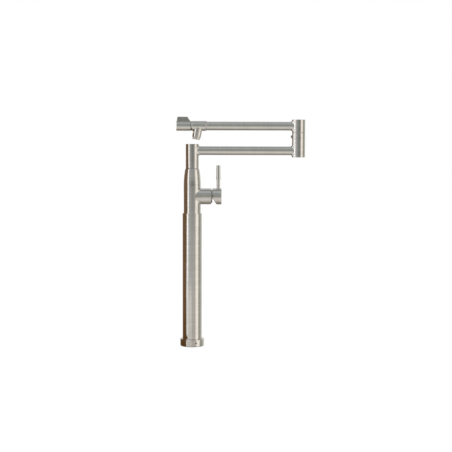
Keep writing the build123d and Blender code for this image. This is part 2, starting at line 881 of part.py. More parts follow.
def housing_taper_ring(start, end):
    """The cone at one end of the housing, from its full size at start to the smaller end."""
    wide, narrow = housing_diameter / 2, housing_diameter / 2 - housing_taper
    turn = 90 if end > start else -90
    cone = Cone(wide, narrow, abs(end - start), align=stand)
    return Pos(start, 0, upper_arm_height) * Rot(0, turn, 0) * cone


def spout_valve_housing():
    """A round housing that tapers at both ends, with the conical nozzle leaning back under it."""
    first, last = housing_start + housing_taper_length, housing_end - housing_taper_length
    body = rod_x(housing_diameter, first, last, upper_arm_height)
    body += housing_taper_ring(first, housing_start) + housing_taper_ring(last, housing_end)
    shell = Pos(0, 0, -nozzle_length) * Cone(
        nozzle_tip_diameter / 2, nozzle_top_diameter / 2, nozzle_length, align=stand
    )
    shell = fillet(edges_at(shell, -nozzle_length, nozzle_tip_diameter), nozzle_round)
    body += nozzle_frame() * shell
    body -= rod_x(valve_bore, housing_start, seat_ledge, upper_arm_height)
    body -= rod_x(seat_bore, seat_ledge, arm_end, upper_arm_height)
    body -= rod_x(arm_diameter + 2 * push_fit, arm_end, housing_end, upper_arm_height)
    body -= nozzle_frame() * rod(nozzle_bore, -nozzle_length, 0)
    mouth = rod(aerator_thread_diameter + 2 * push_fit, -nozzle_length, aerator_seat_depth - nozzle_length)
    return body - nozzle_frame() * mouth


def aerator_seal():
    top = aerator_seat_depth - nozzle_length
    return nozzle_frame() * ring(aerator_thread_diameter, nozzle_bore, top - aerator_seal_thickness, top)


def aerator_tip():
    """Local height of the aerator's mouth."""
    return -nozzle_length - aerator_ring_height


def aerator_housing():
    """A threaded ring that holds the aerator in the nozzle, with a lip at its mouth."""
    top = aerator_seat_depth - nozzle_length - aerator_seal_thickness
    body = rod(aerator_thread_diameter, -nozzle_length, top)
    body += rod(aerator_ring_diameter, aerator_tip(), -nozzle_length)
    bore = aerator_thread_diameter - 2 * aerator_wall
    body -= rod(bore, aerator_tip() + aerator_lip, top)
    return nozzle_frame() * (body - rod(bore - 2 * aerator_lip, aerator_tip(), top))


def aerator_insert():
    """The flow former that stands on the lip: a drum with a ring of holes."""
    foot = aerator_tip() + aerator_lip
    outer = aerator_thread_diameter - 2 * aerator_wall - 2 * push_fit
    body = rod(outer, foot, foot + aerator_insert_length)
    hole = rod(aerator_hole_diameter, foot, foot + aerator_insert_length)
    body -= hole
    for place in PolarLocations(aerator_hole_circle / 2, 6):
        body -= place * hole
    return nozzle_frame() * body


# Quarter-turn shut-off in the housing


def shutoff_bush():
    """The screwed bush that carries the spindle and holds both discs, with two side windows."""
    axis = upper_arm_height
    thread = valve_bore - 2 * push_fit
    body = rod_x(thread, bush_start, journal_end, axis)
    body += rod_x(bush_waist_diameter, journal_end, bush_end, axis)
    body += rod_x(thread, bush_end - bush_collar, bush_end, axis)
    body -= rod_x(shutoff_spindle_diameter + 2 * running_fit, bush_start, bush_end, axis)
    body -= rod_x(bush_cup_diameter, journal_end, bush_end, axis)
    start = moving_disc_face - window_length
    half = window_width / 2
    z_range = (axis - valve_bore, axis + valve_bore)
    return body - block((start, moving_disc_face - seat_relief), (-half, half), z_range)


def shutoff_disc(start, turn):
    """A ceramic disc with two quarter-round ports beside a web. turn is the web's angle in degrees."""
    body = rod_x(bush_cup_diameter - 2 * running_fit, start, start + shutoff_disc_thickness, 0)
    port = rod_x(2 * shutoff_port_radius, start, start + shutoff_disc_thickness, 0)
    span = (start, start + shutoff_disc_thickness)
    reach = bush_cup_diameter
    quarters = block(span, (shutoff_web / 2, reach), (shutoff_web / 2, reach))
    quarters += block(span, (-reach, -shutoff_web / 2), (-reach, -shutoff_web / 2))
    return Pos(0, 0, upper_arm_height) * Rot(turn, 0, 0) * (body - (port & quarters))


def shutoff_fixed_disc():
    return shutoff_disc(shutoff_disc_face, 0)


def shutoff_moving_disc():
    """Turned against the fixed disc by the knob's whole travel, so the valve is shut at rest."""
    tang = drive_bar(moving_disc_face, moving_disc_face + drive_tang + seat_relief, push_fit)
    return shutoff_disc(moving_disc_face, shutoff_turn) - tang


def drive_bar(start, end, extra=0.0):
    """The bar across the spindle's end that turns the disc."""
    half = drive_bar_width / 2 + extra
    reach = bush_cup_diameter
    bar = block((start, end), (-half, half), (upper_arm_height - reach, upper_arm_height + reach))
    return bar & rod_x(bush_cup_diameter - 2 * running_fit, start, end, upper_arm_height)


def shutoff_seat_seal():
    return ring_x(valve_bore - 2 * push_fit, seat_bore, bush_end, seat_ledge, upper_arm_height)


def shutoff_spindle():
    """The knob's spindle: a flatted end, a journal with a seal groove, a flange and the drive bar."""
    axis = upper_arm_height
    end = knob_end - knob_bore_depth
    flange_start = journal_end + side_play
    body = rod_x(shutoff_spindle_diameter, end, flange_start, axis)
    body += rod_x(bush_cup_diameter - 2 * running_fit, flange_start, flange_start + spindle_flange, axis)
    body += rod_x(spindle_seal_floor, journal_end, drive_bar_start, axis)
    body += drive_bar(drive_bar_start, moving_disc_face + drive_tang)
    low = bush_start + spindle_seal_place
    body -= ring_x(shutoff_spindle_diameter, spindle_seal_floor, low, low + spindle_seal_width, axis)
    body -= ring_x(shutoff_spindle_diameter, clip_floor, clip_start(), clip_start() + clip_thickness, axis)
    flat = axis - shutoff_spindle_diameter / 2 + drive_flat
    flat_end = knob_end - knob_recess
    return body - block((end, flat_end), (-shutoff_spindle_diameter, shutoff_spindle_diameter), (0, flat))


def clip_start():
    return bush_start - seat_relief - clip_thickness


def spindle_seal():
    low = bush_start + spindle_seal_place
    outer = shutoff_spindle_diameter
    return ring_x(outer, spindle_seal_floor, low, low + spindle_seal_width, upper_arm_height)


def spindle_clip():
    """An open spring clip in the spindle's groove, against the bush's face."""
    axis = upper_arm_height
    end = clip_start() + clip_thickness
    body = ring_x(clip_diameter, clip_floor, clip_start(), end, axis)
    half = clip_gap / 2
    return body - block((clip_start(), end), (-half, half), (axis, axis + clip_diameter))


def fin_outline():
    """Side view of the knob's fin: a leaning edge, a flat top and a hollow sweep down to the knob's end."""
    axis = upper_arm_height
    top = axis + fin_height
    left = knob_start + fin_setback
    top_start = (left + fin_lean, top)
    top_end = (knob_end - fin_sweep, top)
    outline = Line((left, axis), (left, fin_foot))
    outline += Line((left, fin_foot), top_start)
    outline += Line(top_start, top_end)
    outline += RadiusArc(top_end, (knob_end, fin_foot), -fin_sweep_radius)
    outline += Line((knob_end, fin_foot), (knob_end, axis))
    outline += Line((knob_end, axis), (left, axis))
    face = make_face(outline)
    corners = face.vertices().filter_by_position(Axis.Y, top - same_size, top + same_size)
    return Plane.XZ * fillet(corners, fin_corner_radius)


def knob_fin():
    """The fin with the edges of its two flanks rounded where they stand above the knob."""
    fin = extrude(fin_outline(), fin_thickness / 2, both=True)
    flanks = fin.faces().filter_by(Axis.Y)
    edges = [edge for flank in flanks for edge in flank.edges() if edge.center().Z > fin_foot]
    return fillet(edges, fin_edge_round)


def spout_knob():
    """A round knob with a rounded nose and an upright fin to turn it by."""
    axis = upper_arm_height
    body = rod_x(knob_diameter, knob_start, knob_end, axis)
    body = fillet(end_rim(body, 0), knob_round)
    body = chamfer(end_rim(body, -1), knob_end_chamfer)
    body += knob_fin()
    body -= rod_x(knob_recess_diameter, knob_end - knob_recess, knob_end, axis)
    hole_start = knob_end - knob_bore_depth - seat_relief
    body -= rod_x(shutoff_spindle_diameter + 2 * push_fit, hole_start, knob_end, axis)
    screw_hole = rod(knob_screw_diameter + 2 * push_fit, 0, axis)
    return body - Pos(knob_end - knob_screw_place, 0, 0) * screw_hole


def knob_set_screw():
    """The screw under the knob that bears on the spindle's flat."""
    height = upper_arm_height - shutoff_spindle_diameter / 2 + drive_flat
    place = Pos(knob_end - knob_screw_place, 0, height) * Rot(180, 0, 0)
    return place * grub_screw(knob_screw_diameter, knob_screw_length)


parts = {
    "deck_gasket": deck_gasket(),
    "base_ring": base_ring(),
    "base_set_screw": base_set_screw(),
    "pillar_tube": pillar_tube(),
    "mounting_shank": mounting_shank(),
    "clamp_washer_rubber": clamp_washer_rubber(),
    "clamp_washer_steel": clamp_washer_steel(),
    "mounting_nut": mounting_nut(),
    "cold_supply_tube": supply_tube(-1),
    "hot_supply_tube": supply_tube(1),
    "inlet_sockets": inlet_sockets(),
    "mixer_body": mixer_body(),
    "body_seal": body_seal(),
    "cartridge_base": cartridge_base(),
    "cartridge_base_seals": cartridge_base_seals(),
    "cartridge_fixed_disc": cartridge_fixed_disc(),
    "cartridge_moving_disc": cartridge_moving_disc(),
    "disc_carrier": disc_carrier(),
    "cartridge_housing": cartridge_housing(),
    "cartridge_turret": cartridge_turret(),
    "lever_pin": lever_pin(),
    "cartridge_nut": cartridge_nut(),
    "lever_stem": lever_stem(),
    "handle_hood": handle_hood(),
    "handle_lever": handle_lever(),
    "handle_set_screw": handle_set_screw(),
    "swivel_spindle": swivel_spindle(),
    "swivel_seals": seal_set(hub_seal_places(), seal_groove_floor),
    "swivel_slide_rings": seal_set(hub_slide_ring_places(), slide_ring_floor),
    "swivel_thrust_washer": thrust_washer(body_top),
    "hub_retaining_screw": hub_retaining_screw(),
    "lower_arm": lower_arm(),
    "hub_top_cap": hub_cap(hub_top - hub_cap_thickness, 0),
    "elbow_bottom_plug": hub_cap(elbow_foot, elbow_reach),
    "elbow_retaining_screw": elbow_retaining_screw(),
    "elbow_spindle": elbow_spindle(),
    "elbow_seals": Pos(elbow_reach, 0, 0) * seal_set(elbow_seal_places(), seal_groove_floor),
    "elbow_slide_rings": Pos(elbow_reach, 0, 0) * seal_set(elbow_slide_ring_places(), slide_ring_floor),
    "elbow_thrust_washer": Pos(elbow_reach, 0, 0) * thrust_washer(elbow_top),
    "upper_arm": upper_arm(),
    "elbow_top_cap": hub_cap(upper_hub_top - hub_cap_thickness, elbow_reach),
    "spout_valve_housing": spout_valve_housing(),
    "aerator_seal": aerator_seal(),
    "aerator_housing": aerator_housing(),
    "aerator_insert": aerator_insert(),
    "shutoff_bush": shutoff_bush(),
    "shutoff_seat_seal": shutoff_seat_seal(),
    "shutoff_fixed_disc": shutoff_fixed_disc(),
    "shutoff_moving_disc": shutoff_moving_disc(),
    "shutoff_spindle": shutoff_spindle(),
    "spindle_seal": spindle_seal(),
    "spindle_clip": spindle_clip(),
    "spout_knob": spout_knob(),
    "knob_set_screw": knob_set_screw(),
}

os.makedirs("parts", exist_ok=True)
for name, shape in parts.items():
    export_step(shape, f"parts/{name}.step")
print("disc travel at full tilt", round(disc_travel, 3), "mm")
print(len(parts), "sub-parts written")
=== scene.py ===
import bpy
import bmesh
import json
import math
from mathutils import Euler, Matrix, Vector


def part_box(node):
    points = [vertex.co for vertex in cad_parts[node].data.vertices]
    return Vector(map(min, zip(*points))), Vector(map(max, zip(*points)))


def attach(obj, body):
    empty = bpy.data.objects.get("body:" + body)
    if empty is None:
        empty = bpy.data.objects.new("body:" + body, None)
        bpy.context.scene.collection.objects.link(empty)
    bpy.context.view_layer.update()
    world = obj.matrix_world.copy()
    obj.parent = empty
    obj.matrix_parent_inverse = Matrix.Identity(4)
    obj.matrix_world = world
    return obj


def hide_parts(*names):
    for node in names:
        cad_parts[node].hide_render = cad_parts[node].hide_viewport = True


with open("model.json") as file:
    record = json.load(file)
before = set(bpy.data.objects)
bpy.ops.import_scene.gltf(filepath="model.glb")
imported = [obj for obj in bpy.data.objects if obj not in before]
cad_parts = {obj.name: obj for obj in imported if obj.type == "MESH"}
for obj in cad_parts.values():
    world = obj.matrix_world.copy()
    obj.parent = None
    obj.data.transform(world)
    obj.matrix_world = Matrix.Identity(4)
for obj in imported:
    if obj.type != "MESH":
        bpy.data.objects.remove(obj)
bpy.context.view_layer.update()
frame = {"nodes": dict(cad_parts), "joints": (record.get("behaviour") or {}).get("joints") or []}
nodes = frame["nodes"]

mm = 0.001


# Small helpers for node trees. A socket takes another node's output or a plain value.
def feed(tree, socket, value):
    if isinstance(value, bpy.types.NodeSocket):
        tree.links.new(value, socket)
    else:
        socket.default_value = value


def addNode(tree, kind, inputs=None, **settings):
    node = tree.nodes.new(kind)
    for name, value in settings.items():
        setattr(node, name, value)
    for key, value in (inputs or {}).items():
        feed(tree, node.inputs[key], value)
    return node


def calc(tree, operation, *values):
    return addNode(tree, "ShaderNodeMath", dict(enumerate(values)), operation=operation).outputs[0]


def splitAxes(tree, vector):
    return addNode(tree, "ShaderNodeSeparateXYZ", {0: vector}).outputs


def spread(tree, value, low, high, fromLow=0.3, fromHigh=0.7):
    # Maps one span to another; the usual first span is the one that noise fills
    inputs = {0: value, 1: fromLow, 2: fromHigh, 3: low, 4: high}
    return addNode(tree, "ShaderNodeMapRange", inputs).outputs[0]


def weigh(tree, first, second, share):
    return calc(tree, "MULTIPLY_ADD", first, share, calc(tree, "MULTIPLY", second, 1 - share))


def mixColours(tree, share, first, second):
    inputs = {0: share, 6: first, 7: second}
    return addNode(tree, "ShaderNodeMix", inputs, data_type="RGBA").outputs[2]


def ramp(tree, factor, stops):
    node = addNode(tree, "ShaderNodeValToRGB", {0: factor})
    elements = node.color_ramp.elements
    while len(elements) < len(stops):
        elements.new(1.0)
    for element, (place, colour) in zip(elements, stops):
        element.position = place
        element.color = colour if len(colour) == 4 else (*colour, 1.0)
    return node.outputs


# Small helpers for objects
def addObject(name, data):
    obj = bpy.data.objects.new(name, data)
    bpy.context.scene.collection.objects.link(obj)
    return obj


def bareMaterial(name):
    material = bpy.data.materials.new(name)
    material.use_nodes = True
    material.node_tree.nodes.clear()
    return material


def turnedMesh(name, runs, count, closed=False):
    # Spins half sections, each a run of (radius, height) in mm with the outside on its right
    mesh = bpy.data.meshes.new(name)
    build = bmesh.new()
    turns = [2 * math.pi * step / count for step in range(count)]
    for run in runs:
        rings = []
        for radius, height in run:
            places = [(radius * mm * math.cos(turn), radius * mm * math.sin(turn), height * mm) for turn in turns]
            rings.append([build.verts.new(place) for place in places])
        pairs = list(zip(rings, rings[1:]))
        if closed:
            pairs.append((rings[-1], rings[0]))
        for first, second in pairs:
            for step in range(count):
                after = (step + 1) % count
                build.faces.new((first[step], first[after], second[after], second[step]))
    build.to_mesh(mesh)
    build.free()
    return mesh


camera = {
    "lens": 85.0,
    "sensor": 36.0,
    "clip": (0.05, 60),
    "place": (0.0851, -2.689, 0.507),  # a little right of the column, at the height of the arms
    "downwards": 4.305,                # degrees
    "roll": 0.15,
}


def placeCamera(settings):
    data = bpy.data.cameras.new("studioCamera")
    data.lens = settings["lens"]
    data.sensor_width = settings["sensor"]
    data.clip_start, data.clip_end = settings["clip"]
    obj = addObject("studioCamera", data)
    obj.location = settings["place"]
    aim = Euler((math.radians(90 - settings["downwards"]), 0, 0)).to_matrix()
    roll = Euler((0, 0, math.radians(settings["roll"]))).to_matrix()
    obj.rotation_euler = (aim @ roll).to_euler()
    bpy.context.scene.camera = obj


studio = {
    # What stands round the tap: the angle from the camera's side, negative on the left, then its colour
    # and how much of the room it covers
    "round": (
        (-180, (0.30, 0.24, 0.19), 0.0),
        (-166, (0.30, 0.24, 0.19), 1.0),     # brown wall far behind on the left
        (-124, (0.28, 0.22, 0.17), 1.0),
        (-96, (0.30, 0.26, 0.22), 1.0),
        (-64, (0.76, 0.76, 0.77), 0.75),
        (-50, (0.78, 0.78, 0.79), 0.75),
        (-32, (0.70, 0.70, 0.69), 0.45),
        (-14, (0.60, 0.60, 0.59), 0.25),
        (0, (0.5, 0.5, 0.5), 0.0),
        (18, (0.5, 0.5, 0.5), 0.0),
        (36, (0.66, 0.64, 0.61), 0.55),
        (74, (0.60, 0.57, 0.52), 0.8),
        (84, (0.48, 0.46, 0.40), 1.0),
        (110, (0.46, 0.46, 0.40), 1.0),
        (126, (0.76, 0.75, 0.70), 1.0),
        (152, (1.0, 1.0, 0.97), 1.0),
        (166, (1.0, 1.0, 0.98), 0.7),
        (180, (1.0, 1.0, 0.98), 0.0),
    ),
    # The front half of the room by height, in degrees above the horizon
    "front": (
        (-90, (0.50, 0.45, 0.39)),
        (-68, (0.76, 0.72, 0.68)),
        (-45, (0.92, 0.91, 0.88)),
        (-28, (0.86, 0.85, 0.82)),
        (-11.5, (0.62, 0.55, 0.48)),
        (-8.5, (0.70, 0.68, 0.65)),
        (-4.5, (0.51, 0.51, 0.49)),
        (0, (0.215, 0.225, 0.21)),
        (8, (0.45, 0.46, 0.44)),
        (30, (0.41, 0.42, 0.40)),
        (48, (0.42, 0.46, 0.44)),
        (64, (0.62, 0.68, 0.73)),
        (78, (0.54, 0.58, 0.60)),
        (90, (0.36, 0.38, 0.38)),
    ),
    # The back half in the same way
    "back": (
        (-90, (0.46, 0.40, 0.34)),
        (-72, (0.33, 0.275, 0.225)),
        (-45, (0.31, 0.28, 0.245)),
        (-12, (0.33, 0.31, 0.28)),
        (-2, (0.60, 0.58, 0.56)),
        (4, (1.0, 1.0, 0.98)),
        (15, (1.0, 1.0, 0.98)),
        (26, (0.72, 0.72, 0.70)),
        (60, (0.72, 0.74, 0.74)),
        (90, (0.34, 0.36, 0.36)),
    ),
    "halfBlend": 0.25,    # how far the two halves run into each other
    "stripReach": 62,     # degrees above and below, where what stands round the tap ends
    "stripFade": 14.4,    # degrees over which it fades before that
}


def buildStudio(settings):
    world = bpy.data.worlds.new("studio")
    bpy.context.scene.world = world
    world.use_nodes = True
    tree = world.node_tree
    tree.nodes.clear()
    x, y, z = splitAxes(tree, addNode(tree, "ShaderNodeTexCoord").outputs["Generated"])
    rise = calc(tree, "MULTIPLY_ADD", calc(tree, "ARCSINE", z), 1 / math.pi, 0.5)
    front, back = (
        ramp(tree, rise, [((angle + 90) / 180, colour) for angle, colour in settings[half]])[0]
        for half in ("front", "back")
    )
    blend = settings["halfBlend"]
    room = mixColours(tree, spread(tree, y, 0, 1, -blend, blend), front, back)
    turn = calc(tree, "ARCTAN2", x, calc(tree, "MULTIPLY", y, -1.0))
    around = calc(tree, "MULTIPLY_ADD", turn, 0.5 / math.pi, 0.5)
    stops = [((angle + 180) / 360, (*colour, share)) for angle, colour, share in settings["round"]]
    colour, share = ramp(tree, around, stops)
    reach = settings["stripReach"] / 180
    height = calc(tree, "ABSOLUTE", calc(tree, "SUBTRACT", rise, 0.5))
    fade = spread(tree, height, 1, 0, reach - settings["stripFade"] / 180, reach)
    room = mixColours(tree, calc(tree, "MULTIPLY", share, fade), room, colour)
    # The camera itself sees plain white
    cameraRay = addNode(tree, "ShaderNodeLightPath").outputs["Is Camera Ray"]
    seen = mixColours(tree, cameraRay, room, (1, 1, 1, 1))
    background = addNode(tree, "ShaderNodeBackground", {0: seen})
    addNode(tree, "ShaderNodeOutputWorld", {0: background.outputs[0]})


# A worktop with the hole for the shank, just under the gasket; sizes in mm
floorPlate = {"size": 9000, "middle": 200, "hole": 17.5, "level": -0.2, "steps": 64, "glow": 0.93, "white": 0.22}


def buildFloor(settings):
    run = [(settings[edge], settings["level"]) for edge in ("size", "middle", "hole")]
    floor = addObject("worktop", turnedMesh("worktop", [run], settings["steps"]))
    material = bareMaterial("paleWorktop")
    tree = material.node_tree
    diffuse = addNode(tree, "ShaderNodeBsdfDiffuse", {"Color": (settings["white"],) * 3 + (1,)})
    glow = addNode(tree, "ShaderNodeEmission", {"Color": (1, 1, 1, 1), "Strength": settings["glow"]})
    both = addNode(tree, "ShaderNodeAddShader", {0: diffuse.outputs[0], 1: glow.outputs[0]})
    addNode(tree, "ShaderNodeOutputMaterial", {0: both.outputs[0]})
    floor.data.materials.append(material)
    floor.visible_glossy = False  # the metal mirrors the room's own lower half instead


# Cards round the tap, which only the metal's reflections show: corners in metres, and colours by height.
# A piece that comes nearer than nearest looks through the card, or through its part over the height in above.
cards = {
    # Stands close beside the column, and its front edge runs in and out with the height
    "brownBoard": {
        "corners": [(-0.064, 0.032, 0.60), (-0.064, 0.032, -0.05), (-0.064, -0.058, -0.05), (-0.064, -0.057, 0.016),
                    (-0.064, -0.036, 0.019), (-0.064, -0.035, 0.12), (-0.064, -0.042, 0.27), (-0.064, -0.044, 0.41),
                    (-0.064, -0.034, 0.47), (-0.064, -0.031, 0.60)],
        "tones": [(-0.05, (0.11, 0.055, 0.012)), (0.01, (0.14, 0.072, 0.022)), (0.09, (0.19, 0.105, 0.045)),
                  (0.5, (0.225, 0.135, 0.072)), (0.6, (0.17, 0.10, 0.06))],
        "nearest": 0.046, "above": 0.45, "oneSided": True,
    },
    "whiteCard": {
        "corners": [(-0.384, 0.23, -0.3), (-0.384, -0.36, -0.3), (-0.384, -0.36, 0.40), (-0.384, -0.31, 0.48),
                    (-0.384, -0.31, 1.4), (-0.384, 0.23, 1.4)],
        "tones": [(-0.3, (1.06, 1.05, 1.03)), (0.04, (1.06, 1.05, 1.03)), (0.26, (1.6, 1.6, 1.59)),
                  (0.5, (1.8, 1.8, 1.79)), (1.4, (1.8, 1.8, 1.79))],
        "nearest": 0.33,
    },
    # Stands upright on a slant, with its upper part a little further back
    "warmWindow": {
        "corners": [(0.860, -0.986, -0.75), (0.594, -0.160, -0.75), (0.594, -0.160, 0.25), (0.572, -0.093, 0.37),
                    (0.580, -0.116, 0.50), (0.580, -0.116, 1.5), (0.801, -0.804, 1.5), (0.801, -0.804, 0.50),
                    (0.774, -0.719, 0.37), (0.860, -0.986, 0.25)],
        "tones": [(-0.75, (1.34, 1.25, 1.15)), (1.5, (1.34, 1.25, 1.15))],
        "nearest": 0.28,
    },
    "lowCard": {
        "corners": [(-0.37, -0.34, -0.35), (-0.05, -0.5, -0.35), (-0.05, -0.5, 0.13), (-0.37, -0.34, 0.13)],
        "tones": [(-0.35, (0.80, 0.77, 0.72)), (-0.1, (0.80, 0.77, 0.72)), (0.05, (0.90, 0.88, 0.85)),
                  (0.13, (0.6, 0.6, 0.59))],
    },
}


def buildCard(name, corners, tones, nearest=0.0, above=-9.0, oneSided=False):
    mesh = bpy.data.meshes.new(name)
    mesh.from_pydata(corners, [], [tuple(range(len(corners)))])
    obj = addObject(name, mesh)
    material = bareMaterial(name)
    tree = material.node_tree
    height = splitAxes(tree, addNode(tree, "ShaderNodeTexCoord").outputs["Object"])[2]
    low, high = tones[0][0], tones[-1][0]
    stops = [((place - low) / (high - low), colour) for place, colour in tones]
    colour = ramp(tree, spread(tree, height, 0, 1, low, high), stops)[0]
    glow = addNode(tree, "ShaderNodeEmission", {"Color": colour, "Strength": 1.0})
    limit = calc(tree, "MULTIPLY", calc(tree, "GREATER_THAN", height, above), nearest)
    rayLength = addNode(tree, "ShaderNodeLightPath").outputs["Ray Length"]
    seen = calc(tree, "GREATER_THAN", rayLength, limit)
    if oneSided:
        seen = calc(tree, "MULTIPLY", seen, addNode(tree, "ShaderNodeNewGeometry").outputs["Backfacing"])
    clear = addNode(tree, "ShaderNodeBsdfTransparent").outputs[0]
    both = addNode(tree, "ShaderNodeMixShader", {0: seen, 1: clear, 2: glow.outputs[0]})
    addNode(tree, "ShaderNodeOutputMaterial", {0: both.outputs[0]})
    mesh.materials.append(material)
    obj.visible_camera = False
    obj.visible_diffuse = False
    obj.visible_shadow = False


placeCamera(camera)
buildStudio(studio)
buildFloor(floorPlate)
for cardName, card in cards.items():
    buildCard(cardName, **card)
bpy.context.scene.view_settings.view_transform = "Standard"
print("camera, studio and floor ready")


# Brushed metal, with lines that run round the piece's axis
steelFinish = {
    "dark": (0.56, 0.545, 0.52, 1),
    "light": (0.66, 0.65, 0.625, 1),
    "roughness": (0.09, 0.18),
    "fineLines": 1500.0,   # per metre along the axis
    "broadLines": 210.0,
    "lineChanges": 22.0,   # per metre along a line
    "lineDetail": 3.0, "lineRoughness": 0.6,
    "cloudScale": 38.0, "cloudDetail": 4.0,
    "broadShare": 0.6,     # of the tone, and the rest is cloud
    "fineShare": 0.7,      # of the relief, and the rest is broad lines
    "depth": 0.012 * mm,
    "strength": 0.27,
}
aeratorFinish = {**steelFinish, "strength": 0.2}

# Painted shade: the faces that meet in a seam get a dark, dull colour that stands in for the shade in the gap
seamPaintedShade = {
    "colour": (0.07, 0.065, 0.058, 1),
    "roughness": 0.7,
    "reach": (0.45 * mm, 0.8 * mm),   # full out to the first, gone at the second
    "ends": [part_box("spout_knob")[1].x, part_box("spout_valve_housing")[0].x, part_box("handle_hood")[0].x],
    # Painted shade on the spout valve's tapers at both ends, which are darker and duller than the rest
    "tapered": [corner.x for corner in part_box("spout_valve_housing")],
    "taperLength": 2.6 * mm, "taperEdge": 0.1 * mm, "taperShare": 0.42,
}


def noise(tree, position, scale, detail, roughness=0.5):
    inputs = {"Vector": position, "Scale": scale, "Detail": detail, "Roughness": roughness}
    return addNode(tree, "ShaderNodeTexNoise", inputs).outputs["Fac"]


def newFinish(name):
    material = bpy.data.materials.new(name)
    material.use_nodes = True
    tree = material.node_tree
    return material, tree, addNode(tree, "ShaderNodeTexCoord").outputs["Object"]


def fillShader(tree, colour, roughness, metal, relief, strength, depth):
    bump = addNode(tree, "ShaderNodeBump", {"Height": relief, "Strength": strength, "Distance": depth})
    shader = tree.nodes["Principled BSDF"]
    values = {"Base Color": colour, "Roughness": roughness, "Metallic": metal, "Normal": bump.outputs[0]}
    for key, value in values.items():
        feed(tree, shader.inputs[key], value)


def brushLines(tree, position, axis, rate, settings):
    scale = [settings["lineChanges"]] * 3
    scale["xyz".index(axis)] = rate
    stretched = addNode(tree, "ShaderNodeMapping", {"Vector": position, "Scale": scale}).outputs[0]
    return noise(tree, stretched, 1.0, settings["lineDetail"], settings["lineRoughness"])


def insideSpan(tree, x, span):
    soft = mm  # to either side of the span's two ends
    begins = spread(tree, x, 0, 1, span[0] - soft, span[0] + soft)
    ends = spread(tree, x, 1, 0, span[1] - soft, span[1] + soft)
    return calc(tree, "MULTIPLY", begins, ends)


# Share of painted shade: full near the seam ends, and part of it over the spout valve's tapers
def seamShadeShare(tree, x, settings):
    near = None
    for end in settings["ends"]:
        away = calc(tree, "ABSOLUTE", calc(tree, "SUBTRACT", x, end))
        near = away if near is None else calc(tree, "MINIMUM", near, away)
    share = spread(tree, near, 1, 0, *settings["reach"])
    first, last = settings["tapered"]
    depth = calc(tree, "MINIMUM", calc(tree, "SUBTRACT", x, first), calc(tree, "SUBTRACT", last, x))
    length, edge = settings["taperLength"], settings["taperEdge"]
    taper = spread(tree, depth, settings["taperShare"], 0, length - edge, length + edge)
    taper = calc(tree, "MULTIPLY", taper, calc(tree, "GREATER_THAN", depth, 0.0))
    return calc(tree, "MAXIMUM", share, taper)


def brushedSteel(name, settings, axis="z", crossing=None, paintedShade=None):
    # crossing is the span along X where the piece is a tube along X and is brushed round that axis
    material, tree, position = newFinish(name)
    x = splitAxes(tree, position)[0]
    lines = []
    for rate in (settings["fineLines"], settings["broadLines"]):
        line = brushLines(tree, position, axis, rate, settings)
        if crossing:
            across = brushLines(tree, position, "x", rate, settings)
            inputs = {0: insideSpan(tree, x, crossing), 2: line, 3: across}
            line = addNode(tree, "ShaderNodeMix", inputs, data_type="FLOAT").outputs[0]
        lines.append(line)
    fine, broad = lines
    cloud = noise(tree, position, settings["cloudScale"], settings["cloudDetail"])
    tone = weigh(tree, broad, cloud, settings["broadShare"])
    colour = mixColours(tree, spread(tree, tone, 0, 1), settings["dark"], settings["light"])
    relief = weigh(tree, fine, broad, settings["fineShare"])
    roughness = spread(tree, relief, *settings["roughness"])
    # Painted shade: a dark colour and more roughness on the seam faces and the valve's tapers
    if paintedShade:
        share = seamShadeShare(tree, x, paintedShade)
        colour = mixColours(tree, share, colour, paintedShade["colour"])
        roughness = calc(tree, "MAXIMUM", roughness, calc(tree, "MULTIPLY", share, paintedShade["roughness"]))
    fillShader(tree, colour, roughness, 1.0, relief, settings["strength"], settings["depth"])
    return material


# Finishes that are the same in every direction
plainFinishes = {
    "machinedSteel": {"metal": 1, "dark": (0.30, 0.295, 0.28, 1), "light": (0.44, 0.43, 0.41, 1),
                      "roughness": (0.22, 0.38), "grain": 900.0, "depth": 0.01 * mm},
    "plainSteel": {"metal": 1, "dark": (0.56, 0.56, 0.55, 1), "light": (0.70, 0.70, 0.69, 1),
                   "roughness": (0.26, 0.42), "grain": 420.0, "depth": 0.01 * mm},
    "machinedBrass": {"metal": 1, "dark": (0.56, 0.38, 0.15, 1), "light": (0.78, 0.58, 0.28, 1),
                      "roughness": (0.18, 0.36), "grain": 300.0, "depth": 0.01 * mm},
    "drawnCopper": {"metal": 1, "dark": (0.52, 0.23, 0.12, 1), "light": (0.80, 0.44, 0.28, 1),
                    "roughness": (0.2, 0.42), "grain": 120.0, "depth": 0.008 * mm},
    "blackRubber": {"metal": 0, "dark": (0.012, 0.012, 0.012, 1), "light": (0.034, 0.034, 0.033, 1),
                    "roughness": (0.62, 0.85), "grain": 1600.0, "depth": 0.03 * mm},
    "lappedCeramic": {"metal": 0, "dark": (0.80, 0.785, 0.74, 1), "light": (0.90, 0.89, 0.86, 1),
                      "roughness": (0.10, 0.2), "grain": 500.0, "depth": 0.003 * mm},
    "mouldedPlastic": {"metal": 0, "dark": (0.66, 0.66, 0.64, 1), "light": (0.80, 0.80, 0.78, 1),
                       "roughness": (0.36, 0.52), "grain": 1100.0, "depth": 0.012 * mm},
    "slickPlastic": {"metal": 0, "dark": (0.035, 0.035, 0.036, 1), "light": (0.075, 0.075, 0.074, 1),
                     "roughness": (0.3, 0.42), "grain": 700.0, "depth": 0.006 * mm},
}
plainLook = {"grainDetail": 4.0, "cloudSize": 14, "cloudDetail": 3.0, "cloudShare": 0.6, "strength": 0.4}


def plainFinish(name, settings, look):
    material, tree, position = newFinish(name)
    grain = noise(tree, position, settings["grain"], look["grainDetail"])
    cloud = noise(tree, position, settings["grain"] / look["cloudSize"], look["cloudDetail"])
    tone = weigh(tree, cloud, grain, look["cloudShare"])
    colour = mixColours(tree, spread(tree, tone, 0, 1), settings["dark"], settings["light"])
    roughness = spread(tree, tone, *settings["roughness"])
    fillShader(tree, colour, roughness, settings["metal"], grain, look["strength"], settings["depth"])
    return material


